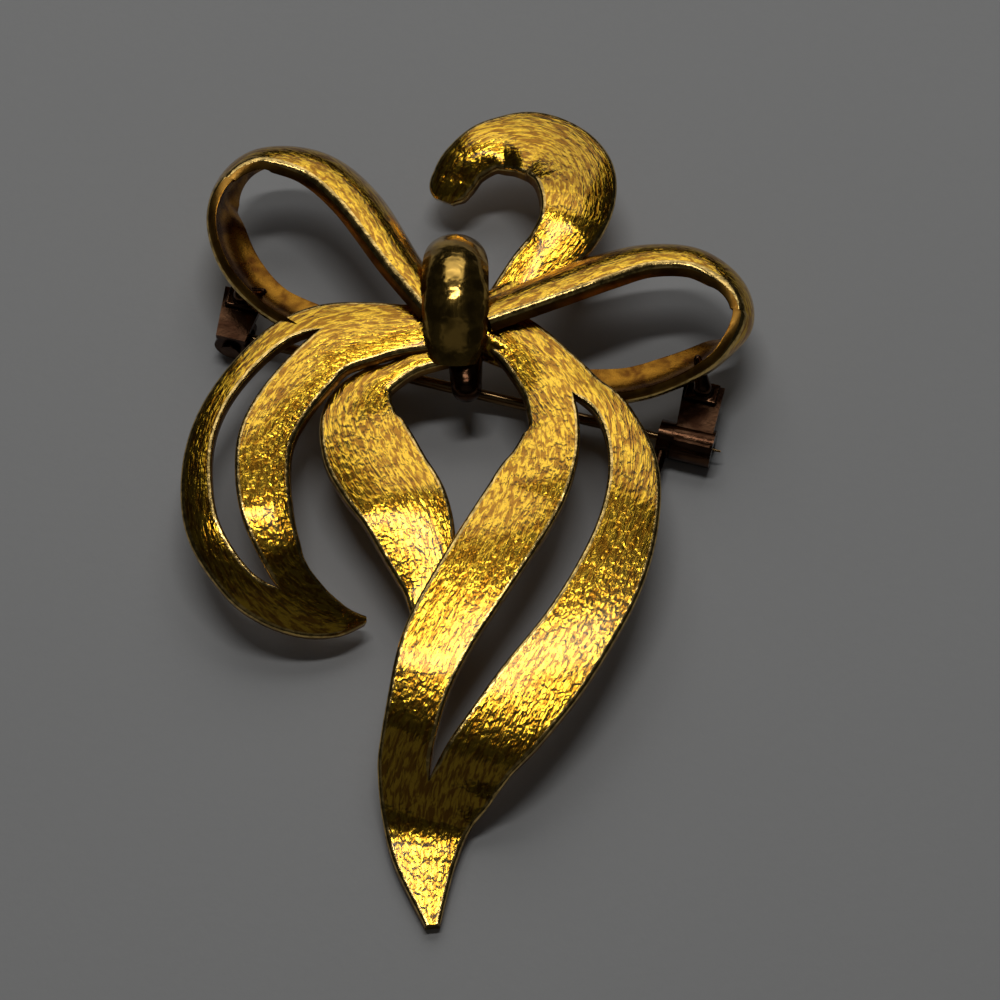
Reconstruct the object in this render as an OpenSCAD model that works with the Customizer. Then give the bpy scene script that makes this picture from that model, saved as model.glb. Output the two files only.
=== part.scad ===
// Bow brooch, lying on its back. Millimetres, +Z up from the table.
// The bow is one casting of swept ribbons, with a polished knot and a hinged pin behind.

/* [Bow] */
// Width over the two loops
bow_w = 44; // [36:0.5:56]
// Length from the curl to the tip of the long tail
bow_l = 70; // [56:0.5:86]
// Height of the ribbons' back above the fittings behind them, where they leave the knot
crest_rise = 3.2; // [2.6:0.1:4]
// Thickness of the cast ribbon
ribbon_t = 1.0; // [0.8:0.05:1.3]

/* [Ribbons] */
// Full width of the loops' ribbon
loop_w = 4.4; // [3.6:0.1:5.4]
// Full width of the curl
curl_w = 7.4; // [6:0.1:9]
// Full width of the left tail over both strands
left_tail_w = 8.6; // [7:0.1:10.5]
// Full width of the tail that runs under
under_tail_w = 7.2; // [5.8:0.1:8.8]
// Full width of the right tail over both strands
right_tail_w = 14.4; // [11.8:0.1:17.4]

/* [Knot] */
// Width of the knot band
knot_w = 5.2; // [4.2:0.1:6.4]
// Length of the knot band along the brooch
knot_l = 12.2; // [10:0.1:14.6]
// Thickness of the knot band at its crown
knot_t = 2.4; // [1.9:0.1:3]
// Height of the knot band's crown above the ribbons
knot_rise = 3.2; // [2.6:0.1:4]

/* [Pin and catch] */
// Radius of the pin stem
stem_r = 0.45; // [0.35:0.05:0.6]
// Outer radius of the catch barrel and of the hinge ears
barrel_r = 1.5; // [1.35:0.05:1.9]
// Length of the catch barrel
barrel_l = 3.2; // [2.6:0.1:4]
// Wall of the catch barrel
barrel_wall = 0.4; // [0.3:0.05:0.45]
// Thickness of each hinge ear
ear_t = 0.55; // [0.4:0.05:0.8]
// Thickness of the pin's flat eye
eye_t = 1.2; // [0.9:0.1:1.6]
// Radius of the hinge rivet
rivet_r = 0.42; // [0.32:0.02:0.55]
// Length of the lock's finger nib
nib_l = 2.1; // [1.6:0.1:2.8]

/* [Fits] */
// Gap between pieces that are fastened to each other
seam = 0.05; // [0.03:0.01:0.1]
// Gap between pieces that turn in each other
play = 0.06; // [0.04:0.01:0.1]

/* [Hidden] */
$fn = 48;
gold = [0.80, 0.58, 0.18];
polished = [0.90, 0.72, 0.30];
gilt = [0.55, 0.42, 0.16];

// Columns of every ribbon table. All but the lean are shares of named sizes
X = 0; // middle of the ribbon across the brooch, a share of bow_w
Y = 1; // middle of the ribbon along the brooch, a share of bow_l
Z = 2; // level of its lowest edge: 0 on the table, 1 on top of the fittings behind, 2 at the crest
WIDTH = 3; // share of the ribbon's full width
LEAN = 4; // degrees that its right-hand edge stands above its left-hand edge
CAMBER = 5; // crown of the section, a share of the ribbon's full width
SLOT = 6; // middle of the slot, from -1 at the left-hand edge to 1 at the right-hand edge
OPEN = 7; // half of the slot's width, on the same scale

// From the left tail round the loop to the knot, with the polished rim as the leaning edge
LEFT_LOOP = [
    [-0.278, 0.207, 1.11, 0.95, 150, 0.20],
    [-0.355, 0.239, 1.04, 0.92, 142, 0.20],
    [-0.410, 0.284, 1.04, 0.95, 137, 0.20],
    [-0.436, 0.337, 1.04, 0.95, 122, 0.20],
    [-0.424, 0.382, 1.04, 0.96, 84, 0.22],
    [-0.370, 0.413, 1.04, 1.04, 52, 0.22],
    [-0.280, 0.405, 1.13, 1.15, 36, 0.22],
    [-0.204, 0.356, 1.27, 1.12, 33, 0.22],
    [-0.126, 0.270, 1.44, 0.94, 34, 0.20],
    [-0.058, 0.205, 1.56, 0.80, 34, 0.16],
];
// From the knot round the loop to the right tail
RIGHT_LOOP = [
    [0.020, 0.198, 1.57, 0.80, 32, 0.16],
    [0.164, 0.242, 1.39, 1.06, 33, 0.20],
    [0.234, 0.262, 1.31, 1.08, 34, 0.21],
    [0.312, 0.278, 1.22, 1.00, 38, 0.22],
    [0.394, 0.277, 1.09, 1.00, 43, 0.22],
    [0.452, 0.246, 1.04, 0.96, 56, 0.22],
    [0.464, 0.203, 1.04, 0.92, 90, 0.22],
    [0.420, 0.169, 1.04, 0.92, 128, 0.20],
    [0.358, 0.145, 1.04, 0.98, 141, 0.20],
    [0.282, 0.128, 1.04, 0.97, 146, 0.20],
    [0.208, 0.123, 1.15, 0.90, 150, 0.20],
];
// From the knot up the stem and over to the blunt tip, with the outer edge on the right hand
CURL = [
    [0.040, 0.203, 1.37, 0.46, -5, 0.02],
    [0.108, 0.264, 1.54, 0.56, -5, 0.02],
    [0.149, 0.293, 1.69, 0.62, -6, 0.03],
    [0.178, 0.324, 1.73, 0.71, -8, 0.04],
    [0.189, 0.361, 1.63, 0.83, -9, 0.05],
    [0.181, 0.400, 1.47, 0.93, -8, 0.05],
    [0.151, 0.430, 1.35, 0.93, -7, 0.05],
    [0.098, 0.447, 1.33, 0.85, -4, 0.05],
    [0.037, 0.446, 1.26, 0.64, 2, 0.05],
    [-0.008, 0.429, 1.10, 0.54, 2, 0.05],
    [-0.030, 0.410, 0.95, 0.50, 0, 0.04],
    [-0.043, 0.396, 0.82, 0.42, 0, 0.03],
    [-0.049, 0.388, 0.72, 0.22, 0, 0.02],
];
// From the knot out to the left and round to the tip
LEFT_TAIL = [
    [-0.040, 0.190, 1.70, 0.46, 0, 0.03, 0.24, 0.00],
    [-0.113, 0.187, 1.68, 0.52, -2, 0.03, 0.24, 0.00],
    [-0.178, 0.183, 1.66, 0.65, -3, 0.03, 0.24, 0.00],
    [-0.249, 0.173, 1.62, 0.79, -4, 0.04, 0.24, 0.00],
    [-0.301, 0.150, 1.56, 0.88, -5, 0.04, 0.27, 0.15],
    [-0.359, 0.101, 1.53, 0.92, -5, 0.06, 0.28, 0.20],
    [-0.394, 0.052, 1.51, 0.94, -5, 0.07, 0.26, 0.21],
    [-0.404, 0.000, 1.48, 0.97, -5, 0.07, 0.20, 0.21],
    [-0.394, -0.053, 1.42, 0.96, -5, 0.07, 0.15, 0.20],
    [-0.360, -0.101, 1.20, 0.82, -8, 0.05, 0.08, 0.15],
    [-0.324, -0.126, 0.92, 0.68, -12, 0.04, 0.00, 0.00],
    [-0.276, -0.142, 0.62, 0.51, -16, 0.04, 0.00, 0.00],
    [-0.228, -0.148, 0.43, 0.31, -18, 0.03, 0.00, 0.00],
    [-0.181, -0.145, 0.36, 0.06, -10, 0.01, 0.00, 0.00],
];
// From the knot down to where it passes under the right tail
UNDER_TAIL = [
    [-0.045, 0.158, 1.58, 0.28, -2, 0.02],
    [-0.097, 0.147, 1.55, 0.26, -2, 0.02],
    [-0.136, 0.134, 1.49, 0.30, -1, 0.02],
    [-0.165, 0.123, 1.46, 0.46, 0, 0.03],
    [-0.185, 0.103, 1.43, 0.69, 0, 0.04],
    [-0.192, 0.076, 1.42, 0.87, 0, 0.04],
    [-0.176, 0.039, 1.43, 1.00, 0, 0.04],
    [-0.149, 0.004, 1.45, 1.00, 0, 0.04],
    [-0.117, -0.030, 1.46, 0.96, 0, 0.04],
    [-0.092, -0.074, 1.41, 0.82, 0, 0.04],
    [-0.078, -0.122, 1.30, 0.54, 0, 0.03],
    [-0.088, -0.163, 1.20, 0.16, 0, 0.02],
];
// From the knot down to the long tip
RIGHT_TAIL = [
    [0.014, 0.203, 1.64, 0.26, 0, 0.02, -0.17, 0.00],
    [0.083, 0.171, 1.64, 0.31, 0, 0.02, -0.17, 0.00],
    [0.135, 0.130, 1.64, 0.37, 0, 0.02, -0.17, 0.00],
    [0.163, 0.099, 1.65, 0.45, 0, 0.03, -0.17, 0.00],
    [0.186, 0.065, 1.68, 0.61, 0, 0.03, -0.17, 0.16],
    [0.192, 0.015, 1.71, 0.80, 0, 0.03, -0.13, 0.20],
    [0.174, -0.039, 1.74, 0.92, 0, 0.03, -0.11, 0.21],
    [0.138, -0.100, 1.74, 0.99, 1, 0.03, -0.05, 0.22],
    [0.088, -0.161, 1.62, 1.00, 3, 0.03, -0.01, 0.22],
    [0.035, -0.221, 1.475, 0.97, 4, 0.03, 0.05, 0.19],
    [-0.005, -0.272, 1.32, 0.86, 4, 0.03, 0.10, 0.16],
    [-0.040, -0.316, 1.09, 0.71, 5, 0.03, 0.11, 0.08],
    [-0.060, -0.346, 0.66, 0.61, 4, 0.03, 0.10, 0.00],
    [-0.074, -0.380, 0.27, 0.46, 2, 0.03, 0.10, 0.00],
    [-0.076, -0.425, 0.11, 0.30, 0, 0.02, 0.10, 0.00],
    [-0.064, -0.497, 0.00, 0.03, 0, 0.00, 0.10, 0.00],
];
// Places of the fittings on the plan
knot_at = [-0.028 * bow_w, 0.224 * bow_l];
hub_at = [-0.013 * bow_w, 0.197 * bow_l];
boss_at = [-0.008 * bow_w, 0.127 * bow_l];
hinge_at = [-0.419 * bow_w, 0.219 * bow_l];
catch_at = [0.389 * bow_w, 0.077 * bow_l];
reach = catch_at - hinge_at;
pin_l = norm(reach);
pin_turn = atan2(reach[1], reach[0]);

// The barrel stands on the two lips of its mouth, and the hinge ears reach the table with it
mouth = 2 * stem_r + 0.3;
pin_h = sqrt(pow(barrel_r, 2) - pow(mouth / 2, 2));
eye_r = 1.0;
plate_t = 0.5;
hinge_top = eye_r + play + plate_t;
catch_top = barrel_r - 0.1;
fit_h = pin_h + hinge_top;
crest_h = fit_h + crest_rise;
hub_low = pin_h + stem_r + 1;
arm_r = 0.75 * ribbon_t;

// Middles of the two solder pads, along and across the pin from the rivet and from the barrel
hinge_pad = [-0.1, 2.4];
catch_pad = [-0.3, 3.9];
pad_w = 1.8;

// Spline and frames

// Row of a table at place u, by a Catmull-Rom spline through its rows
function row_at(table, u) =
    let (last = len(table) - 1,
         i = min(floor(u), last - 1),
         f = u - i,
         a = table[max(i - 1, 0)],
         b = table[i],
         c = table[i + 1],
         d = table[min(i + 2, last)])
    0.5 * (2 * b + (c - a) * f + (2 * a - 5 * b + 4 * c - d) * pow(f, 2) + (3 * b - a - 3 * c + d) * pow(f, 3));
function level(z) = z < 1 ? z * fit_h : fit_h + (z - 1) * crest_rise;
function middle(row, full_w) = [
    row[X] * bow_w,
    row[Y] * bow_l,
    level(row[Z]) + abs(sin(row[LEAN])) * row[WIDTH] * full_w / 2 + abs(cos(row[LEAN])) * ribbon_t / 2];
function unit(v) = v / norm(v);
function travel(table, full_w, u) =
    let (step = 0.05,
         ahead = row_at(table, min(u + step, len(table) - 1)),
         behind = row_at(table, max(u - step, 0)))
    unit(middle(ahead, full_w) - middle(behind, full_w));
// The direction across the ribbon, and the one that its crown rises in
function across(t, lean) =
    let (side = unit(cross(t, [0, 0, 1])))
    cos(lean) * side + sin(lean) * cross(side, t);
function crown(t, lean) =
    let (side = unit(cross(t, [0, 0, 1])))
    cos(lean) * cross(side, t) - sin(lean) * side;
// How far the section rises at place a across it: one crown, and a small one on each strand of a slotted tail
strand_crown = 0.05;
function strand(row, a) =
    let (q = row[SLOT],
         b = a < q ? (2 * a + 1 - q) / (1 + q) : (2 * a - 1 - q) / (1 - q))
    strand_crown * row[OPEN] * row[WIDTH] * (1 - pow(b, 2));
function rise(row, full_w, a) =
    full_w * (row[CAMBER] * (1 - pow(a, 2)) + (len(row) > SLOT ? strand(row, a) : 0));
function on_ribbon(table, full_w, u, a, lift) =
    let (row = row_at(table, u), t = travel(table, full_w, u))
    middle(row, full_w)
        + across(t, row[LEAN]) * a * row[WIDTH] * full_w / 2
        + crown(t, row[LEAN]) * (rise(row, full_w, a) + lift);

// A bar swept along a table from row first to row last. It spans the ribbon, or only its slot
cut_wider = 0.002;
module sweep(table, full_w, first, last, rings, columns, half_t, edges) {
    around = 2 * columns;
    points = [
        for (i = [0:rings])
            let (u = first + (last - first) * i / rings,
                 row = row_at(table, u),
                 low = edges ? -1 : row[SLOT] - row[OPEN] - cut_wider,
                 high = edges ? 1 : row[SLOT] + row[OPEN] + cut_wider,
                 places = [for (k = [0:columns - 1]) low + (high - low) * k / (columns - 1)])
            each concat(
                [for (k = [0:columns - 1]) on_ribbon(table, full_w, u, places[k], half_t)],
                [for (k = [columns - 1:-1:0]) on_ribbon(table, full_w, u, places[k], -half_t)])];
    skin = [
        for (i = [0:rings - 1], k = [0:around - 1])
            let (m = (k + 1) % around, p = i * around, q = p + around)
            each [[p + k, q + m, p + m], [p + k, q + k, q + m]]];
    ends = [
        for (i = [0, rings], k = [0:columns - 2])
            let (p = i * around, m = around - 1 - k)
            each i == 0
                ? [[p + k, p + m - 1, p + m], [p + k, p + k + 1, p + m - 1]]
                : [[p + k, p + m, p + m - 1], [p + k, p + m - 1, p + k + 1]]];
    polyhedron(points = points, faces = concat(skin, ends), convexity = 6);
}
module ribbon(table, full_w, rings, columns = 7) {
    sweep(table, full_w, 0, len(table) - 1, rings, columns, ribbon_t / 2, true);
}

// The slot between a tail's two strands, cut through its thickness
module slot(table, full_w, first, last, rings) {
    sweep(table, full_w, first, last, rings, 2, 3 * ribbon_t, false);
}

// Pieces

// The raised middle that the ribbons leave from: a ball, and an arm into the root of each ribbon
module hub() {
    ball = 0.5 * (crest_h + knot_rise - knot_t - hub_low);
    root = [
        [LEFT_LOOP, loop_w, len(LEFT_LOOP) - 2],
        [RIGHT_LOOP, loop_w, 1],
        [CURL, curl_w, 1],
        [LEFT_TAIL, left_tail_w, 2],
        [UNDER_TAIL, under_tail_w, 1],
        [RIGHT_TAIL, right_tail_w, 2]];
    for (r = root)
        hull() {
            translate([hub_at[0], hub_at[1], hub_low + ball]) sphere(ball, $fn = 24);
            translate(middle(row_at(r[0], r[2]), r[1]) - [0, 0, 0.4 * arm_r]) sphere(arm_r, $fn = 16);
        }
    hull() {
        translate([hub_at[0], hub_at[1], hub_low + ball]) sphere(0.8 * ball, $fn = 24);
        translate([boss_at[0], boss_at[1], hub_low + 0.7 * ball]) sphere(0.6 * ball, $fn = 24);
    }
}

// Local frame of the pin: X along the stem from the rivet, Z up, at the height of its axis
module along_pin() {
    translate([hinge_at[0], hinge_at[1], pin_h]) rotate([0, 0, pin_turn]) children();
}

// A solder pad on the casting's back: a block on top of a plate, with a strut up into the ribbon
module pad(at_x, at_y, top, table, full_w, u) {
    hull() {
        along_pin()
            translate([at_x - 0.7 * pad_w, at_y - pad_w / 2, top + seam])
                cube([1.4 * pad_w, pad_w, 0.3]);
        translate(middle(row_at(table, u), full_w)) sphere(0.7 * ribbon_t, $fn = 16);
    }
}

module bow() {
    color(gold)
        difference() {
            union() {
                ribbon(LEFT_LOOP, loop_w, 30);
                ribbon(RIGHT_LOOP, loop_w, 31);
                ribbon(CURL, curl_w, 32);
                difference() {
                    ribbon(LEFT_TAIL, left_tail_w, 30, 8);
                    slot(LEFT_TAIL, left_tail_w, 3.05, 9.95, 15);
                }
                ribbon(UNDER_TAIL, under_tail_w, 24, 6);
                difference() {
                    ribbon(RIGHT_TAIL, right_tail_w, 36, 8);
                    slot(RIGHT_TAIL, right_tail_w, 3.05, 11.9, 20);
                }
                hub();
                pad(hinge_pad[0], hinge_pad[1], hinge_top, LEFT_LOOP, loop_w, 1.2);
                pad(pin_l + catch_pad[0], catch_pad[1], catch_top, RIGHT_LOOP, loop_w, 7.4);
            }
            knot_solid(seam);
        }
}

// The knot band, grown by a gap: an arch with a round crown, cut to an oval on the plan
knot_bend = (pow(knot_l / 2, 2) + pow(knot_rise, 2)) / (2 * knot_rise);
knot_crown = 0.62 * knot_t;
crown_bend = (pow(knot_w / 2, 2) + pow(knot_crown, 2)) / (2 * knot_crown);
oval_l = 1.5 * knot_l;
oval_bend = (pow(oval_l / 2, 2) + pow(knot_w / 2, 2)) / knot_w;
module knot_oval(grow) {
    for_left = oval_bend - knot_w / 2;
    intersection() {
        translate([for_left, 0, 0]) cylinder(r = oval_bend + grow, h = 2 * knot_bend, $fn = 128);
        translate([-for_left, 0, 0]) cylinder(r = oval_bend + grow, h = 2 * knot_bend, $fn = 128);
    }
}
module knot_section(grow) {
    intersection() {
        translate([knot_bend - crown_bend, 0]) circle(crown_bend + grow, $fn = 80);
        translate([knot_bend - knot_t - grow, -knot_w])
            square([knot_t + 2 * grow, 2 * knot_w]);
    }
}
module knot_solid(grow) {
    arc = 2 * asin(knot_l / 2 / knot_bend) + 2 * grow / knot_bend * 180 / PI;
    translate([knot_at[0], knot_at[1], crest_h + knot_rise - knot_bend])
        intersection() {
            rotate([0, 0, 90]) rotate([90, 0, 0]) rotate([0, 0, 90 - arc / 2])
                rotate_extrude(angle = arc, $fn = 96) knot_section(grow);
            knot_oval(grow);
        }
}

module knot_band() {
    color(polished) knot_solid(0);
}

// A flat plate from a fitting to its pad, tapered on the plan, in the local frame of the pin
module plate(top, near_w, near_y, far_w, far_x, far_y) {
    translate([0, 0, top - plate_t])
        linear_extrude(plate_t)
            polygon([[-near_w / 2, near_y], [near_w / 2, near_y],
                     [far_x + far_w / 2, far_y], [far_x - far_w / 2, far_y]]);
}

// Hinge: a plate under the casting, with two ears that hold the rivet
hinge_half = eye_t / 2 + play + ear_t;
module hinge_ear(side) {
    ear_w = 1.5 * pin_h;
    ear_h = hinge_top - plate_t / 2;
    translate([0, side > 0 ? hinge_half : -hinge_half + ear_t, 0])
        rotate([90, 0, 0])
            difference() {
                union() {
                    cylinder(r = pin_h, h = ear_t);
                    translate([-ear_w / 2, 0, 0]) cube([ear_w, ear_h, ear_t]);
                }
                translate([0, 0, -1]) cylinder(r = rivet_r + seam / 2, h = ear_t + 2);
            }
}
module hinge_bracket() {
    color(gilt)
        along_pin() {
            for (side = [-1, 1]) hinge_ear(side);
            plate(hinge_top, 1.7 * pin_h, -hinge_half, 3.4, hinge_pad[0], hinge_pad[1] + pad_w / 2);
        }
}

module hinge_rivet() {
    head_r = 1.8 * rivet_r;
    head_t = 0.3;
    length = 2 * hinge_half + 2 * seam + head_t;
    color(gilt)
        along_pin()
            rotate([90, 0, 0]) {
                cylinder(r = rivet_r, h = length, center = true);
                for (end = [-1, 1])
                    translate([0, 0, end * length / 2]) cylinder(r = head_r, h = head_t, center = true);
            }
}

// Pin stem: a flat eye on the rivet, a neck, a round stem and a long taper to a sharp tip
neck_r = 0.42 * eye_t;
neck_l = 2.8;
taper_l = 8.5;
tip_r = 0.08;
stem_end = pin_l + barrel_l / 2 + 0.6;
module pin_stem() {
    color(polished)
        along_pin()
            difference() {
                union() {
                    rotate([90, 0, 0]) cylinder(r = eye_r, h = eye_t, center = true);
                    rotate([0, 90, 0]) cylinder(r1 = neck_r, r2 = stem_r, h = neck_l);
                    translate([neck_l, 0, 0])
                        rotate([0, 90, 0]) cylinder(r = stem_r, h = stem_end - taper_l - neck_l);
                    translate([stem_end - taper_l, 0, 0])
                        rotate([0, 90, 0]) cylinder(r1 = stem_r, r2 = tip_r, h = taper_l);
                }
                rotate([90, 0, 0]) cylinder(r = rivet_r + play, h = eye_t + 2, center = true);
            }
}

// Catch: a split barrel on a plate, with a turning lock inside it. Local frame of the pin, at the barrel
lock_r = barrel_r - barrel_wall - play;
collar_t = 1.05;
collar_r = barrel_r - 0.05;
nib_r = 0.42;
module at_catch() {
    along_pin() translate([pin_l, 0, 0]) children();
}
module lying(r, from, length) {
    translate([from, 0, 0]) rotate([0, 90, 0]) cylinder(r = r, h = length);
}
module catch_barrel() {
    color(gilt)
        at_catch()
            difference() {
                union() {
                    lying(barrel_r, -barrel_l / 2, barrel_l);
                    plate(catch_top, barrel_l - 0.4, -0.5 * barrel_r,
                          barrel_l, catch_pad[0], catch_pad[1] + pad_w / 2);
                }
                lying(barrel_r - barrel_wall, -barrel_l, 2 * barrel_l);
                translate([-barrel_l, -mouth / 2, -2 * barrel_r]) cube([2 * barrel_l, mouth, 2 * barrel_r]);
            }
}
module catch_lock() {
    collar_at = -barrel_l / 2 - play - collar_t;
    color(gilt)
        at_catch()
            difference() {
                union() {
                    lying(lock_r, collar_at, barrel_l + collar_t + play);
                    lying(collar_r, collar_at, collar_t);
                    translate([collar_at + collar_t / 2, 0, 0]) {
                        rotate([90, 0, 0]) cylinder(r = nib_r, h = barrel_r + nib_l);
                        translate([0, -barrel_r - nib_l, 0]) sphere(nib_r);
                    }
                }
                lying(mouth / 2, -2 * barrel_l, 4 * barrel_l);
                translate([-2 * barrel_l, -mouth / 2, -2 * barrel_r]) cube([4 * barrel_l, mouth, 2 * barrel_r]);
            }
}

bow();
knot_band();
hinge_bracket();
hinge_rivet();
pin_stem();
catch_barrel();
catch_lock();
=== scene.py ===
"""Bow brooch of cast gold ribbons round a polished knot, lying on a pale floor."""

import math

import bpy
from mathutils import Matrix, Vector


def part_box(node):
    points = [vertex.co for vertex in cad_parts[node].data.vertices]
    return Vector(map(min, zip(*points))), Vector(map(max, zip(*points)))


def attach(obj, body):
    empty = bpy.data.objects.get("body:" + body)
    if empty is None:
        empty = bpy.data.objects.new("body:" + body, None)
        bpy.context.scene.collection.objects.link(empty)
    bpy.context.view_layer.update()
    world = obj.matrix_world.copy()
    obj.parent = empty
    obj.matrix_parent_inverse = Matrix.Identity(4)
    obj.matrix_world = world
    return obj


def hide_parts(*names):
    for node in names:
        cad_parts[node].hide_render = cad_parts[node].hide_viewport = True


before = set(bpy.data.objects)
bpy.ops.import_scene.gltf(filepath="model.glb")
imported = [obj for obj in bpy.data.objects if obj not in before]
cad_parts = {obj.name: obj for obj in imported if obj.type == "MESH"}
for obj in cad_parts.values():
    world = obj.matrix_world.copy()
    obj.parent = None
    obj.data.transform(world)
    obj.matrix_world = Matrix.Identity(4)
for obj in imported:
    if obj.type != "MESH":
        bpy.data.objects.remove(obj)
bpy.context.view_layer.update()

# Sizes, in millimetres
MM = 0.001
bow_w = 44.0
bow_l = 70.0
ribbon_t = 1.0
rim_r = 0.22  # front edges of the ribbons
back_r = 0.16  # back edges of the ribbons
land_w = 0.14  # polished land inside each rim
loop_w = 4.4
curl_w = 7.4
left_tail_w = 8.6
under_tail_w = 7.2
right_tail_w = 14.4
knot_w = 5.2
knot_l = 12.2
knot_t = 2.4
knot_rise = 3.2
pin_h = 1.37477  # axis of the pin above the table
fit_h = 2.93477  # top of the findings
hub_low = 2.825  # underside of the raised middle
crest_rise = 3.2
crest_h = fit_h + crest_rise

# Columns of the ribbon tables: shares of the bow's width and length, the height (0 at the table, 1 at
# the findings' top, 2 at the crest), the share of the ribbon's full width, the lean in degrees, the
# camber, and on a slotted tail the slot's middle and half its opening
X, Y, Z, WIDTH, LEAN, CAMBER, SLOT, OPEN = range(8)

# From the left tail round the loop to the knot, with the polished rim as the leaning edge
LEFT_LOOP = [
    [-0.278, 0.207, 1.11, 0.95, 150, 0.20],
    [-0.355, 0.239, 1.04, 0.92, 142, 0.20],
    [-0.410, 0.284, 1.04, 0.95, 137, 0.20],
    [-0.436, 0.337, 1.04, 0.95, 122, 0.20],
    [-0.424, 0.382, 1.04, 0.96, 84, 0.22],
    [-0.370, 0.413, 1.04, 1.04, 52, 0.22],
    [-0.280, 0.405, 1.13, 1.15, 36, 0.22],
    [-0.204, 0.356, 1.27, 1.12, 33, 0.22],
    [-0.126, 0.270, 1.44, 0.94, 34, 0.20],
    [-0.058, 0.205, 1.56, 0.80, 34, 0.16],
]
# From the knot round the loop to the right tail
RIGHT_LOOP = [
    [0.020, 0.198, 1.57, 0.80, 32, 0.16],
    [0.164, 0.242, 1.39, 1.06, 33, 0.20],
    [0.234, 0.262, 1.31, 1.08, 34, 0.21],
    [0.312, 0.278, 1.22, 1.00, 38, 0.22],
    [0.394, 0.277, 1.09, 1.00, 43, 0.22],
    [0.452, 0.246, 1.04, 0.96, 56, 0.22],
    [0.464, 0.203, 1.04, 0.92, 90, 0.22],
    [0.420, 0.169, 1.04, 0.92, 128, 0.20],
    [0.358, 0.145, 1.04, 0.98, 141, 0.20],
    [0.282, 0.128, 1.04, 0.97, 146, 0.20],
    [0.208, 0.123, 1.15, 0.90, 150, 0.20],
]
# From the knot up the stem and over to the blunt tip, with the outer edge on the right hand
CURL = [
    [0.040, 0.203, 1.34, 0.46, -5, 0.02],
    [0.108, 0.264, 1.54, 0.56, -5, 0.02],
    [0.149, 0.293, 1.665, 0.62, -6, 0.03],
    [0.178, 0.324, 1.72, 0.71, -8, 0.04],
    [0.189, 0.361, 1.63, 0.83, -9, 0.05],
    [0.181, 0.400, 1.47, 0.93, -8, 0.05],
    [0.151, 0.430, 1.35, 0.93, -7, 0.05],
    [0.098, 0.447, 1.33, 0.85, -4, 0.05],
    [0.037, 0.446, 1.26, 0.64, 2, 0.05],
    [-0.008, 0.429, 1.10, 0.54, 2, 0.05],
    [-0.030, 0.410, 0.95, 0.50, 0, 0.04],
    [-0.043, 0.396, 0.82, 0.42, 0, 0.03],
    [-0.049, 0.388, 0.72, 0.22, 0, 0.02],
]
# From the knot out to the left and round to the tip
LEFT_TAIL = [
    [-0.040, 0.190, 1.70, 0.46, 0, 0.03, 0.24, 0.00],
    [-0.113, 0.187, 1.68, 0.52, -2, 0.03, 0.24, 0.00],
    [-0.178, 0.183, 1.66, 0.65, -3, 0.03, 0.24, 0.00],
    [-0.249, 0.173, 1.62, 0.79, -4, 0.04, 0.24, 0.00],
    [-0.301, 0.150, 1.56, 0.88, -5, 0.04, 0.27, 0.15],
    [-0.359, 0.101, 1.53, 0.92, -5, 0.06, 0.28, 0.20],
    [-0.394, 0.052, 1.51, 0.94, -5, 0.07, 0.26, 0.21],
    [-0.404, 0.000, 1.48, 0.97, -5, 0.07, 0.20, 0.21],
    [-0.394, -0.053, 1.42, 0.96, -5, 0.07, 0.15, 0.20],
    [-0.360, -0.101, 1.20, 0.82, -8, 0.05, 0.08, 0.15],
    [-0.324, -0.126, 0.92, 0.68, -12, 0.04, 0.00, 0.00],
    [-0.276, -0.142, 0.62, 0.51, -16, 0.04, 0.00, 0.00],
    [-0.228, -0.148, 0.43, 0.31, -18, 0.03, 0.00, 0.00],
    [-0.181, -0.145, 0.36, 0.06, -10, 0.01, 0.00, 0.00],
]
# From the knot down to where it passes under the right tail
UNDER_TAIL = [
    [-0.045, 0.158, 1.58, 0.28, -2, 0.02],
    [-0.097, 0.147, 1.55, 0.26, -2, 0.02],
    [-0.136, 0.134, 1.49, 0.30, -1, 0.02],
    [-0.165, 0.123, 1.46, 0.46, 0, 0.03],
    [-0.185, 0.103, 1.43, 0.69, 0, 0.04],
    [-0.192, 0.076, 1.42, 0.87, 0, 0.04],
    [-0.176, 0.039, 1.43, 1.00, 0, 0.04],
    [-0.149, 0.004, 1.45, 1.00, 0, 0.04],
    [-0.117, -0.030, 1.46, 0.96, 0, 0.04],
    [-0.092, -0.074, 1.36, 0.82, 0, 0.03],
    [-0.078, -0.122, 1.23, 0.54, 0, 0.02],
    [-0.088, -0.163, 1.12, 0.16, 0, 0.02],
]
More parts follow.
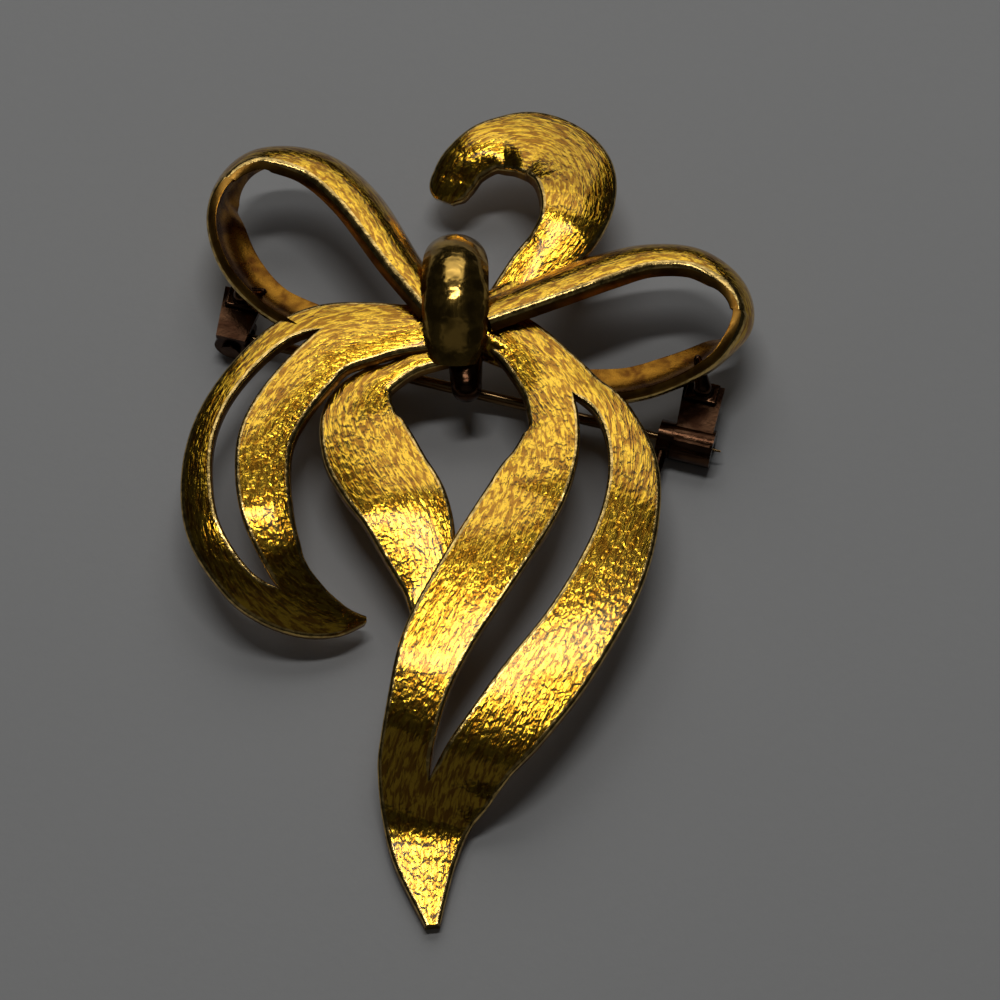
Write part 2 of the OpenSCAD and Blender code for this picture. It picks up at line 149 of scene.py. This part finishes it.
# From the knot down to the long tip
RIGHT_TAIL = [
    [0.014, 0.203, 1.64, 0.26, 0, 0.02, -0.17, 0.00],
    [0.083, 0.171, 1.64, 0.31, 0, 0.02, -0.17, 0.00],
    [0.135, 0.130, 1.64, 0.37, 0, 0.02, -0.17, 0.00],
    [0.163, 0.099, 1.65, 0.45, 0, 0.03, -0.17, 0.00],
    [0.186, 0.065, 1.68, 0.61, 0, 0.03, -0.17, 0.16],
    [0.192, 0.015, 1.71, 0.80, 0, 0.03, -0.13, 0.20],
    [0.174, -0.039, 1.74, 0.92, 0, 0.02, -0.11, 0.21],
    [0.138, -0.100, 1.70, 0.99, 2, 0.01, -0.05, 0.22],
    [0.088, -0.161, 1.63, 1.00, 3, 0.01, -0.01, 0.22],
    [0.035, -0.221, 1.53, 0.97, 3, 0.01, 0.05, 0.19],
    [-0.005, -0.272, 1.41, 0.86, 3, 0.01, 0.10, 0.16],
    [-0.040, -0.316, 1.16, 0.71, 3, 0.01, 0.11, 0.08],
    [-0.060, -0.346, 0.64, 0.61, 3, 0.02, 0.10, 0.00],
    [-0.074, -0.380, 0.18, 0.46, 2, 0.02, 0.10, 0.00],
    [-0.076, -0.425, 0.10, 0.32, 0, 0.01, 0.10, 0.00],
    [-0.064, -0.494, 0.00, 0.08, 0, 0.00, 0.10, 0.00],
]
strand_crown = 0.02  # of a strand beside an open slot, on top of its row's camber

# Places: the tables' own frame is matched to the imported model's at the knot
knot_at = Vector((-0.028 * bow_w, 0.224 * bow_l, 0))
knot_low, knot_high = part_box("knot_band")
aside = (knot_low + knot_high) / 2 / MM - knot_at
aside.z = 0


def placed(point):
    """A point in the tables' millimetres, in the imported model's metres."""
    return (Vector(point) + aside) * MM


# The ribbons' spline and sections
def row_at(table, u):
    """The row at place u along a table, on a smooth line through its rows."""
    last = len(table) - 1
    i = min(int(u), last - 1)
    f = u - i
    rows = table[max(i - 1, 0)], table[i], table[i + 1], table[min(i + 2, last)]
    return [
        0.5 * (2 * b + (c - a) * f + (2 * a - 5 * b + 4 * c - d) * f**2 + (3 * b - a - 3 * c + d) * f**3)
        for a, b, c, d in zip(*rows)
    ]


def level(z):
    """The height in millimetres of a table's height."""
    return z * fit_h if z < 1 else fit_h + (z - 1) * crest_rise


def middle(row, full_w):
    """The middle of a ribbon's section, lifted so that a leaning ribbon's low edge is at its level."""
    lean = math.radians(row[LEAN])
    lifted = abs(math.sin(lean)) * row[WIDTH] * full_w / 2 + abs(math.cos(lean)) * ribbon_t / 2
    return Vector((row[X] * bow_w, row[Y] * bow_l, level(row[Z]) + lifted))


def axes(table, full_w, u):
    """The directions across the ribbon and out of its front."""
    step = 0.05
    lean = math.radians(row_at(table, u)[LEAN])
    ahead = middle(row_at(table, min(u + step, len(table) - 1)), full_w)
    behind = middle(row_at(table, max(u - step, 0)), full_w)
    travel = (ahead - behind).normalized()
    side = travel.cross(Vector((0, 0, 1))).normalized()
    up = side.cross(travel)
    return math.cos(lean) * side + math.sin(lean) * up, math.cos(lean) * up - math.sin(lean) * side


def rise(row, full_w, a):
    """How far the section's crown stands at place a, from -1 to 1 across it."""
    crown = row[CAMBER] * (1 - a * a)
    if len(row) > SLOT:
        q = row[SLOT]
        b = (2 * a + 1 - q) / (1 + q) if a < q else (2 * a - 1 - q) / (1 - q)
        crown += strand_crown * row[OPEN] * row[WIDTH] * (1 - b * b)
    return full_w * crown


# Bands of a section: brushed front, polished rim, side wall and back
FRONT, RIM, WALL, BACK = range(4)
front_cells = 12
back_cells = 6
side_cells = 6


def outline(low, high, low_r, high_r):
    """The closed section of a bar from low to high.

    Each point holds its place across, its height and the band of the face that follows it.
    """
    half = ribbon_t / 2
    low_b, high_b = min(back_r, low_r), min(back_r, high_r)
    low_in = low + low_r + min(land_w, low_r)
    high_in = high - high_r - min(land_w, high_r)
    corner = 0.293  # of an edge's radius, to the point halfway round it
    points = [(low + low_r, half, RIM)]
    for k in range(front_cells + 1):
        place = low_in + (high_in - low_in) * k / front_cells
        points.append((place, half, FRONT if k < front_cells else RIM))
    points.append((high - high_r, half, RIM))
    for angle, band in ((30, RIM), (60, RIM), (90, WALL)):
        turn = math.radians(angle)
        place = high - high_r + high_r * math.sin(turn)
        points.append((place, half - high_r + high_r * math.cos(turn), band))
    for angle in (0, 45, 90):
        turn = math.radians(angle)
        place = high - high_b + high_b * math.cos(turn)
        points.append((place, high_b - half - high_b * math.sin(turn), BACK))
    for k in range(1, back_cells + 1):
        points.append((high - high_b + (low + low_b + high_b - high) * k / back_cells, -half, BACK))
    points.append((low + corner * low_b, corner * low_b - half, BACK))
    points.append((low, low_b - half, WALL))
    for angle in (90, 60, 30, 0):
        turn = math.radians(angle)
        points.append((low + low_r - low_r * math.sin(turn), half - low_r + low_r * math.cos(turn), RIM))
    return points


def strands(row, full_w, slotted):
    """The sections of a ribbon at a row: one, or two with a slot between them."""
    half_w = row[WIDTH] * full_w / 2
    edge_r = min(rim_r, 0.3 * half_w)
    if not slotted:
        return [outline(-half_w, half_w, edge_r, edge_r)]
    open_w = max(row[OPEN], 0) * half_w
    slot_at = row[SLOT] * half_w
    slot_r = min(edge_r, open_w)
    return [
        outline(-half_w, slot_at - open_w, edge_r, slot_r),
        outline(slot_at + open_w, half_w, slot_r, edge_r),
    ]


# Work on one piece or a few
def pick(pieces):
    """Selects only these pieces, with the first as the active one."""
    bpy.ops.object.select_all(action="DESELECT")
    for piece in pieces:
        piece.select_set(True)
    bpy.context.view_layer.objects.active = pieces[0]


def finish_mesh(piece, smooth_angle):
    """Merges doubles, closes what is open, turns the faces outwards and shades them."""
    pick([piece])
    bpy.ops.object.mode_set(mode="EDIT")
    bpy.ops.mesh.select_all(action="SELECT")
    bpy.ops.mesh.remove_doubles(threshold=2e-7)
    bpy.ops.mesh.dissolve_degenerate(threshold=1e-7)
    bpy.ops.mesh.select_all(action="SELECT")
    bpy.ops.mesh.fill_holes(sides=0)
    bpy.ops.mesh.select_all(action="SELECT")
    bpy.ops.mesh.normals_make_consistent(inside=False)
    bpy.ops.object.mode_set(mode="OBJECT")
    bpy.ops.object.shade_smooth_by_angle(angle=math.radians(smooth_angle))


def give(piece, finish):
    """Gives a piece one finish in place of any that it has."""
    piece.data.materials.clear()
    piece.data.materials.append(finish)


def open_slot(bar, count, part, shut):
    """Takes away a strand's wall along the slot where the slot is shut, so that the strands meet."""
    first = front_cells + 2 if part == 0 else count - side_cells
    inner = range(first, first + side_cells)
    bpy.ops.object.mode_set(mode="EDIT")
    bpy.ops.mesh.select_mode(type="FACE")
    bpy.ops.mesh.select_all(action="DESELECT")
    bpy.ops.object.mode_set(mode="OBJECT")
    for face in bar.data.polygons:
        j, k = divmod(face.index, count)
        face.select = shut[j] and shut[j + 1] and k in inner
    bpy.ops.object.mode_set(mode="EDIT")
    bpy.ops.mesh.delete(type="FACE")
    bpy.ops.object.mode_set(mode="OBJECT")


def sweep(name, table, full_w, rows, finishes, slot_span):
    """A ribbon swept along its table: a grid laid out row by row, then closed into a bar."""
    last = len(table) - 1
    slotted = slot_span is not None
    bars = []
    for part in range(2 if slotted else 1):
        bands = [band for s, h, band in strands(table[0], full_w, slotted)[part]]
        count = len(bands) - 1
        bpy.ops.object.select_all(action="DESELECT")
        bpy.ops.mesh.primitive_grid_add(x_subdivisions=count, y_subdivisions=rows, size=0.01)
        bar = bpy.context.object
        bars.append(bar)
        mesh = bar.data
        mesh.uv_layers[0].name = "flow"
        along = 0
        was = None
        flow = []
        shut = []
        for j in range(rows + 1):
            u = last * j / rows
            row = row_at(table, u)
            if slotted:
                row[OPEN] = max(row[OPEN], 0) if slot_span[0] < u < slot_span[1] else 0
            here = middle(row, full_w)
            across, out = axes(table, full_w, u)
            along += (here - was).length if was else 0
            was = here
            shut.append(slotted and row[OPEN] <= 0)
            for k, (s, h, band) in enumerate(strands(row, full_w, slotted)[part]):
                a = max(-1, min(1, s / (row[WIDTH] * full_w / 2)))
                point = here + across * s + out * (rise(row, full_w, a) + h)
                mesh.vertices[j * (count + 1) + k].co = placed(point)
                flow.append((s, along))
        for face in mesh.polygons:
            face.material_index = bands[face.index % count]
        layer = mesh.uv_layers["flow"].data
        for loop in mesh.loops:
            layer[loop.index].uv = flow[loop.vertex_index]
        for finish in finishes:
            mesh.materials.append(finish)
        if slotted:
            open_slot(bar, count, part, shut)
    if slotted:
        pick(bars)
        bpy.ops.object.join()
    piece = bars[0]
    piece.name = name
    finish_mesh(piece, smooth_angle=38)
    return piece


class Wire:
    """A socket that takes part in sums."""

    def __init__(self, finish, socket):
        self.finish = finish
        self.socket = socket

    def __add__(self, other):
        return self.finish.sum("ADD", self, other)

    def __radd__(self, other):
        return self.finish.sum("ADD", other, self)

    def __sub__(self, other):
        return self.finish.sum("SUBTRACT", self, other)

    def __rsub__(self, other):
        return self.finish.sum("SUBTRACT", other, self)

    def __mul__(self, other):
        return self.finish.sum("MULTIPLY", self, other)

    def __rmul__(self, other):
        return self.finish.sum("MULTIPLY", other, self)


class Finish:
    """A material of nodes on one Principled shader."""

    def __init__(self, name, **constants):
        self.material = bpy.data.materials.new(name)
        self.material.use_nodes = True
        self.tree = self.material.node_tree
        self.tree.nodes.clear()
        self.shader = self.tree.nodes.new("ShaderNodeBsdfPrincipled")
        surface = self.tree.nodes.new("ShaderNodeOutputMaterial").inputs["Surface"]
        self.tree.links.new(self.shader.outputs[0], surface)
        self.drive(**constants)

    def put(self, socket, value):
        if isinstance(value, Wire):
            self.tree.links.new(value.socket, socket)
        else:
            socket.default_value = value

    def drive(self, **sockets):
        """Sets or links sockets of the shader, with _ for a space in their names."""
        for name, value in sockets.items():
            self.put(self.shader.inputs[name.replace("_", " ")], value)

    def node(self, kind, settings=None, inputs=None, out=0):
        """Adds a node: its settings come first, then its sockets' values or links."""
        made = self.tree.nodes.new("ShaderNode" + kind)
        for name, value in (settings or {}).items():
            setattr(made, name, value)
        for name, value in (inputs or {}).items():
            self.put(made.inputs[name], value)
        return Wire(self, made.outputs[out])

    def sum(self, operation, one, other):
        return self.node("Math", {"operation": operation}, {0: one, 1: other})

    def clamped(self, low, high, value):
        """0 at low and 1 at high, with soft ends."""
        span = {"Value": value, "From Min": low, "From Max": high}
        return self.node("MapRange", {"interpolation_type": "SMOOTHSTEP"}, span)

    def blend(self, share, one, other):
        return self.node("Mix", {"data_type": "RGBA"}, {0: share, 6: one, 7: other}, 2)

    def on_object(self):
        return self.node("TexCoord", out="Object")

    def noise(self, place, size, detail=2.0, rough=0.5, warp=0.0, shift=(0, 0, 0)):
        """Noise whose grains have this size, in the units of place."""
        scale = tuple(1 / s for s in size)
        spread = self.node("Mapping", inputs={"Vector": place, "Scale": scale, "Location": shift})
        grains = {"Vector": spread, "Scale": 1.0, "Detail": detail, "Roughness": rough, "Distortion": warp}
        return self.node("TexNoise", inputs=grains)

    def bump(self, strength, distance, height):
        """Drives the surface's relief, with its distance in metres."""
        relief = {"Strength": strength, "Distance": distance, "Height": height}
        self.drive(Normal=self.node("Bump", inputs=relief))


def colour(red, green, blue):
    return (red, green, blue, 1)


dark_streak = colour(0.34, 0.13, 0.006)
bright_streak = colour(1.0, 0.60, 0.045)


def brushed(name, seed, flowing=True):
    """Gold brushed along the ribbon: short wormy streaks over fine engraved lines, sizes in millimetres."""
    f = Finish(name, Metallic=1.0, Coat_Weight=0.4, Coat_Roughness=0.12)
    if flowing:
        flow = f.node("UVMap", {"uv_map": "flow"})
    else:
        flow = f.node("Mapping", inputs={"Vector": f.on_object(), "Scale": (1 / MM, 1 / MM, 1 / MM)})
    streaks = f.noise(flow, (0.30, 1.20, 1), 2.5, 0.6, 0.6, (seed, seed, 0))
    blobs = f.noise(flow, (0.42, 0.62, 1), 1.0, 0.5, 0.4, (0, seed, 0))
    lines = f.noise(flow, (0.085, 3.2, 1), 1.0, 0.5, 0.1, (seed, 0, 0))
    tone = f.noise(flow, (2.4, 5.0, 1), 1.5, 0.5, 0.3, (0, seed, 0))
    mottle = f.clamped(0.41, 0.59, streaks)
    f.drive(
        Base_Color=f.blend(0.8 * mottle + 0.2 * tone, dark_streak, bright_streak),
        Roughness=0.15 - 0.03 * mottle + 0.04 * lines,
    )
    f.bump(1.0, 0.00009, 0.5 * blobs + 0.35 * streaks + 0.15 * lines)
    return f.material


def polished(name, tint, smooth, patch, ripple=0.00001, dip=0.9):
    """Polished gold with a faint orange-peel in patches of this size and hair scratches."""
    f = Finish(name, Metallic=1.0)
    place = f.on_object()
    peel = f.noise(place, (patch, patch, patch), 2.0, 0.5, 0.2)
    hair = f.noise(place, (0.00012, 0.0016, 0.0006), 2.0, 0.6, 0.4)
    dull = colour(*(dip * c for c in tint[:3]))
    f.drive(
        Base_Color=f.blend(f.clamped(0.4, 0.6, peel), dull, tint),
        Roughness=smooth + 0.08 * f.clamped(0.45, 0.8, hair) + 0.05 * peel,
    )
    f.bump(0.8, ripple, peel + 0.03 * hair)
    return f.material


def cast(name, tint, stain, rough):
    """Satin cast metal with fine pits and darker stains."""
    f = Finish(name, Metallic=1.0)
    place = f.on_object()
    grain = f.noise(place, (0.0003, 0.0003, 0.0003), 3.0, 0.6)
    spots = f.noise(place, (0.0016, 0.0016, 0.0016), 2.0, 0.5, 0.4)
    f.drive(
        Base_Color=f.blend(f.clamped(0.35, 0.65, spots), stain, tint),
        Roughness=rough + 0.12 * (1 - grain),
    )
    f.bump(0.6, 0.00003, grain)
    return f.material


# The rims' low roughness is real polish; their paler, brighter cream tint is a painted highlight
rim_polish_and_painted_highlight = polished("rim_polish_and_painted_highlight", colour(0.92, 0.62, 0.20), smooth=0.16, patch=0.0006, ripple=0.00005, dip=0.5)
# painted shade: the loops' inner faces get a dark brown gold for the shade inside the loops
painted_shade_inner_gold = cast("painted_shade_inner_gold", colour(0.42, 0.19, 0.02), colour(0.14, 0.05, 0.008), rough=0.22)
root_gold = brushed("root_gold", 1.9, flowing=False)
# painted shade: the ribbons' side walls get a darker gold than their fronts and backs
painted_shade_wall_gold = cast("painted_shade_wall_gold", colour(0.40, 0.20, 0.035), colour(0.22, 0.10, 0.015), rough=0.30)
back_gold = cast("back_gold", colour(0.62, 0.34, 0.06), colour(0.35, 0.16, 0.02), rough=0.30)
knot_gold = polished("knot_gold", colour(0.82, 0.50, 0.11), smooth=0.13, patch=0.0014, ripple=0.00013, dip=0.5)
# painted shade: the fittings, the pads and the boss under the knot get near-black gilt for the shade they sit
# in under the bow
painted_shade_gilt = cast("painted_shade_gilt", colour(0.10, 0.048, 0.024), colour(0.04, 0.016, 0.008), rough=0.13)
# painted shade: the pin gets a dark gilt for the shade it lies in under the knot
painted_shade_pin_gilt = polished("painted_shade_pin_gilt", colour(0.22, 0.13, 0.055), smooth=0.16, patch=0.0009)

# Each ribbon with its full width, its rows of faces and the stretch of its table that the slot is open on
ribbons = [
    ("left_loop", LEFT_LOOP, loop_w, 150, None),
    ("right_loop", RIGHT_LOOP, loop_w, 160, None),
    ("curl", CURL, curl_w, 150, None),
    ("left_tail", LEFT_TAIL, left_tail_w, 200, (3.05, 9.95)),
    ("under_tail", UNDER_TAIL, under_tail_w, 120, None),
    ("right_tail", RIGHT_TAIL, right_tail_w, 240, (3.05, 11.9)),
]
for i, (name, table, full_w, rows, slot_span) in enumerate(ribbons):
    # The loops' inner faces take the painted-shade gold; the tails' backs take plain back gold
    inside = painted_shade_inner_gold if "loop" in name else back_gold
    finishes = [brushed(name + "_gold", 3.7 * i), rim_polish_and_painted_highlight, painted_shade_wall_gold, inside]
    piece = sweep(name, table, full_w, rows, finishes, slot_span)
    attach(piece, "brooch")
    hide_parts("bow")


# The raised middle that the ribbons leave from
def add_ball(at, radius):
    bpy.ops.mesh.primitive_uv_sphere_add(segments=32, ring_count=16, radius=radius * MM, location=placed(at))
    return bpy.context.object


def add_arm(start, start_r, end, end_r):
    """A tapering rod between two balls, made where it belongs."""
    a, b = placed(start), placed(end)
    bpy.ops.mesh.primitive_cone_add(
        vertices=32,
        radius1=start_r * MM,
        radius2=end_r * MM,
        depth=(b - a).length,
        location=(a + b) / 2,
        rotation=(b - a).to_track_quat("Z", "Y").to_euler(),
    )
    return bpy.context.object


def join_all(parts, name):
    pick(parts)
    bpy.ops.object.join()
    bpy.ops.object.transform_apply(location=True, rotation=True, scale=True)
    parts[0].name = name
    return parts[0]


def melt(piece, voxel, steps):
    """Joins a piece's overlapping solids into one smooth skin."""
    pick([piece])
    remesh = piece.modifiers.new("skin", "REMESH")
    remesh.mode = "VOXEL"
    remesh.voxel_size = voxel * MM
    bpy.ops.object.modifier_apply(modifier="skin")
    soften = piece.modifiers.new("soften", "SMOOTH")
    soften.factor = 0.5
    soften.iterations = steps
    bpy.ops.object.modifier_apply(modifier="soften")
    bpy.ops.object.shade_smooth()


ball = 0.5 * (crest_h + knot_rise - knot_t - hub_low)
core = (-0.013 * bow_w, 0.197 * bow_l, hub_low + ball)
root_r = 0.62 * ribbon_t
parts = [add_ball(core, 0.96 * ball)]
for table, full_w, u in [
    (LEFT_LOOP, loop_w, len(LEFT_LOOP) - 2),
    (RIGHT_LOOP, loop_w, 1),
    (CURL, curl_w, 1),
    (LEFT_TAIL, left_tail_w, 2),
    (UNDER_TAIL, under_tail_w, 1),
    (RIGHT_TAIL, right_tail_w, 2),
]:
    end = middle(row_at(table, u), full_w) - Vector((0, 0, 0.35 * ribbon_t))
    parts += [add_ball(end, root_r), add_arm(core, 0.9 * ball, end, root_r)]
# Fillets of solder between neighbouring ribbons, each between a place on one table and a place on another
for one, one_w, u, other, other_w, v, radius in [
    (CURL, curl_w, 0.7, RIGHT_LOOP, loop_w, 0.6, 1.0),
    (CURL, curl_w, 0.2, RIGHT_LOOP, loop_w, 0.2, 1.2),
    (RIGHT_LOOP, loop_w, 0.3, RIGHT_TAIL, right_tail_w, 0.9, 1.0),
    (LEFT_LOOP, loop_w, 8.8, LEFT_TAIL, left_tail_w, 0.7, 1.1),
    (LEFT_TAIL, left_tail_w, 0.8, UNDER_TAIL, under_tail_w, 0.7, 0.8),
]:
    a, b = middle(row_at(one, u), one_w), middle(row_at(other, v), other_w)
    fillet = a * 0.5 + b * 0.5 - Vector((0, 0, radius - 0.2))
    parts += [add_ball(fillet, radius), add_arm(core, 0.5 * ball, fillet, 0.9 * radius)]
# The boss under the knot gets near-black gilt: painted shade, for the knot's shadow that falls on it
boss = (-0.008 * bow_w, 0.127 * bow_l, hub_low + 0.7 * ball)
lump = [add_ball(boss, 0.6 * ball), add_arm(core, 0.78 * ball, boss, 0.58 * ball)]
for name, solids, finish in [("hub", parts, root_gold), ("boss", lump, painted_shade_gilt)]:
    piece = join_all(solids, name)
    melt(piece, voxel=0.16, steps=5)
    give(piece, finish)
    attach(piece, "brooch")
    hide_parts("bow")

# Solder pads between the casting and the two fittings
hinge_at = Vector((-0.419 * bow_w, 0.219 * bow_l, 0))
catch_at = Vector((0.389 * bow_w, 0.077 * bow_l, 0))
reach = catch_at - hinge_at
pin_turn = math.atan2(reach.y, reach.x)
pin_x = Vector((math.cos(pin_turn), math.sin(pin_turn), 0))
pin_y = Vector((-math.sin(pin_turn), math.cos(pin_turn), 0))
pad_l, pad_w, pad_t = 2.52, 1.8, 0.3
foot_r, head_r = 0.72, 0.3


def on_pin(x, y, z):
    """A place in the pin's own frame: along it, across it and above its axis."""
    return hinge_at + pin_x * x + pin_y * y + Vector((0, 0, pin_h + z))


for name, x, y, top, table, u in [
    ("hinge_pad", -0.1, 2.4, 1.56, LEFT_LOOP, 1.2),
    ("catch_pad", reach.length - 0.3, 3.9, 1.4, RIGHT_LOOP, 7.4),
]:
    foot = on_pin(x, y, top + 0.75)
    head = middle(row_at(table, u), loop_w)
    plate_at = placed(on_pin(x, y, top + 0.2))
    bpy.ops.mesh.primitive_cube_add(size=1, location=plate_at, rotation=(0, 0, pin_turn))
    plate = bpy.context.object
    plate.scale = (pad_l * MM, pad_w * MM, pad_t * MM)
    arm = [add_ball(foot, foot_r), add_arm(foot, foot_r, head, head_r), add_ball(head, head_r)]
    pad = join_all([plate, *arm], name)
    melt(pad, voxel=0.1, steps=3)
    # painted shade: the pads get near-black gilt for the shade under the loops
    give(pad, painted_shade_gilt)
    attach(pad, "brooch")
    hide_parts("bow")

# The knot: an arched band with a round crown and blunt ends
knot_bend = ((knot_l / 2) ** 2 + knot_rise**2) / (2 * knot_rise)
knot_crown = 0.62 * knot_t
crown_bend = ((knot_w / 2) ** 2 + knot_crown**2) / (2 * knot_crown)
crown_share = 0.72  # of the faces round the knot, the rest being its flat underside
end_loss = 0.62  # how much of its squared width the knot loses at its ends
end_power = 5  # a higher one keeps the width for longer


def add_knot():
    around, along = 28, 72
    bpy.ops.object.select_all(action="DESELECT")
    bpy.ops.mesh.primitive_grid_add(x_subdivisions=around, y_subdivisions=along, size=0.01)
    knot = bpy.context.object
    half_turn = math.asin(knot_l / 2 / knot_bend)
    centre = crest_h + knot_rise - knot_bend
    for j in range(along + 1):
        turn = half_turn * (2 * j / along - 1)
        y = knot_bend * math.sin(turn)
        half = knot_w / 2 * (1 - end_loss * abs(2 * y / knot_l) ** end_power) ** 0.5
        for k in range(around + 1):
            share = k / around
            if share < crown_share:
                s = half * (1 - 2 * share / crown_share)
                h = math.sqrt(crown_bend**2 - s * s) - crown_bend
            else:
                s = half * (2 * (share - crown_share) / (1 - crown_share) - 1)
                h = -knot_t
            r = knot_bend + h
            point = knot_at + Vector((s, r * math.sin(turn), centre + r * math.cos(turn)))
            knot.data.vertices[j * (around + 1) + k].co = placed(point)
    return knot


knot = add_knot()
pick([knot])
bpy.ops.object.mode_set(mode="EDIT")
bpy.ops.mesh.select_all(action="DESELECT")
bpy.ops.mesh.select_mode(type="EDGE")
bpy.ops.mesh.select_non_manifold()
bpy.ops.mesh.bridge_edge_loops()
bpy.ops.object.mode_set(mode="OBJECT")
finish_mesh(knot, smooth_angle=50)
knot.name = "knot"
give(knot, knot_gold)
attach(knot, "brooch")
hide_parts("knot_band")

# Fittings keep their own shape; their near-black gilt and the pin's dark gilt are painted shade for the shadow
# under the bow
for node in ("hinge_bracket", "hinge_rivet", "catch_barrel", "catch_lock"):
    give(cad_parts[node], painted_shade_gilt)
give(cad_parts["pin_stem"], painted_shade_pin_gilt)

# Floor
bpy.ops.object.select_all(action="DESELECT")
bpy.ops.mesh.primitive_plane_add(size=3, location=(0, 0, 0))
floor = bpy.context.object
floor.name = "floor"
f = Finish("pale_floor", Roughness=0.62)
place = f.on_object()
speck = f.noise(place, (0.0009, 0.0009, 0.0009), 2.0, 0.6)
cloud = f.noise(place, (0.05, 0.05, 0.05), 2.0, 0.5)
f.drive(Base_Color=f.blend(0.7 * cloud + 0.3 * speck, colour(0.55, 0.55, 0.545), colour(0.61, 0.61, 0.605)))
f.bump(0.3, 0.00006, speck)
floor.data.materials.append(f.material)

# Camera at the photograph's angle above the table
camera_far = 0.3
camera_pitch = math.radians(60)
half_view = 0.03846
aim = Vector((-0.000352, 0.00129, 0))
camera = bpy.data.objects.new("camera", bpy.data.cameras.new("camera"))
bpy.context.scene.collection.objects.link(camera)
camera.location = aim + camera_far * Vector((0, -math.cos(camera_pitch), math.sin(camera_pitch)))
camera.rotation_euler = (math.pi / 2 - camera_pitch, 0, 0)
camera.data.angle = 2 * math.atan(half_view / camera_far)
camera.data.shift_x = 0.0335
camera.data.clip_start = 0.01
bpy.context.scene.camera = camera

# Lights: two soft boxes beyond the brooch, a narrow one overhead and a faint one on the near side
light_far = 0.7


def add_light(name, elevation, aside, size_x, size_y, power):
    """A soft box that faces the brooch, raised by its elevation from the far side of the table."""
    rising = math.radians(elevation)
    lamp = bpy.data.objects.new(name, bpy.data.lights.new(name, "AREA"))
    bpy.context.scene.collection.objects.link(lamp)
    lamp.data.shape = "RECTANGLE"
    lamp.data.size = size_x
    lamp.data.size_y = size_y
    lamp.data.energy = power
    lamp.location = light_far * Vector((aside, math.cos(rising), math.sin(rising)))
    lamp.rotation_euler = lamp.location.to_track_quat("Z", "Y").to_euler()


add_light("far_softbox", 51.5, -0.03, 0.56, 0.184, 0.39)
add_light("low_softbox", 33, -0.03, 0.56, 0.27, 0.32)
add_light("overhead", 75.8, -0.04, 0.34, 0.062, 0.62)
add_light("near_fill", 130, 0.0, 1.2, 0.5, 0.06)
world = bpy.data.worlds.new("studio")
bpy.context.scene.world = world
world.use_nodes = True
world.node_tree.nodes["Background"].inputs["Color"].default_value = (0.9, 0.95, 1.0, 1)
world.node_tree.nodes["Background"].inputs["Strength"].default_value = 0.012
bpy.context.scene.view_settings.view_transform = "Standard"
